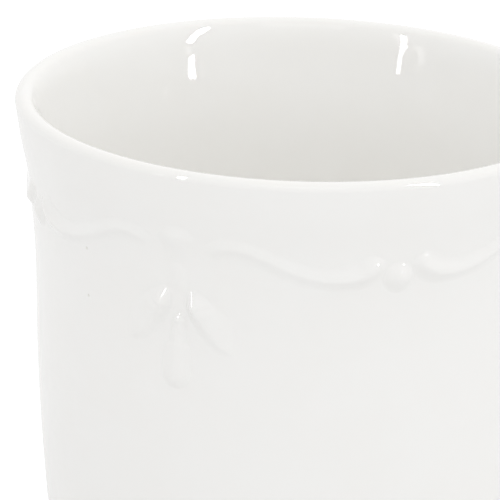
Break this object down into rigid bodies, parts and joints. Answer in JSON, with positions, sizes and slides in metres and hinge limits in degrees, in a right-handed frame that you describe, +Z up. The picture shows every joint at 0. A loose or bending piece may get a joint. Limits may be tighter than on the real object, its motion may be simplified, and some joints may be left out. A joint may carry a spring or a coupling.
{
  "type": "pen holder cup",
  "caption": "Round porcelain cup for pens and pencils, with a flared rim, a bare foot ring and a relief of swags, beads and tassels round the neck.",
  "frame": {"origin": "on the desk, at the middle of the face that the foot ring stands on", "axes": "+Z up along the cup's axis; one tassel of the relief faces -Y, the others +X, +Y and -X"},
  "size_m": [0.084, 0.084, 0.093],
  "materials": {
    "glazed_porcelain": "clear glossy glaze over white porcelain",
    "bare_porcelain": "unglazed, fine matt grain, slightly warm"
  },
  "bodies": {
    "root": {"cup_body": "glazed_porcelain", "foot_ring": "bare_porcelain", "knot_1": "glazed_porcelain", "tassel_stem_1": "glazed_porcelain", "tassel_drop_1": "glazed_porcelain", "tassel_leaf_right_1": "glazed_porcelain", "tassel_leaf_left_1": "glazed_porcelain", "swag_right_1": "glazed_porcelain", "swag_left_1": "glazed_porcelain", "bead_1": "glazed_porcelain", "knot_2": "glazed_porcelain", "tassel_stem_2": "glazed_porcelain", "tassel_drop_2": "glazed_porcelain", "tassel_leaf_right_2": "glazed_porcelain", "tassel_leaf_left_2": "glazed_porcelain", "swag_right_2": "glazed_porcelain", "swag_left_2": "glazed_porcelain", "bead_2": "glazed_porcelain", "knot_3": "glazed_porcelain", "tassel_stem_3": "glazed_porcelain", "tassel_drop_3": "glazed_porcelain", "tassel_leaf_right_3": "glazed_porcelain", "tassel_leaf_left_3": "glazed_porcelain", "swag_right_3": "glazed_porcelain", "swag_left_3": "glazed_porcelain", "bead_3": "glazed_porcelain", "knot_4": "glazed_porcelain", "tassel_stem_4": "glazed_porcelain", "tassel_drop_4": "glazed_porcelain", "tassel_leaf_right_4": "glazed_porcelain", "tassel_leaf_left_4": "glazed_porcelain", "swag_right_4": "glazed_porcelain", "swag_left_4": "glazed_porcelain", "bead_4": "glazed_porcelain"}
  },
  "joints": []
}
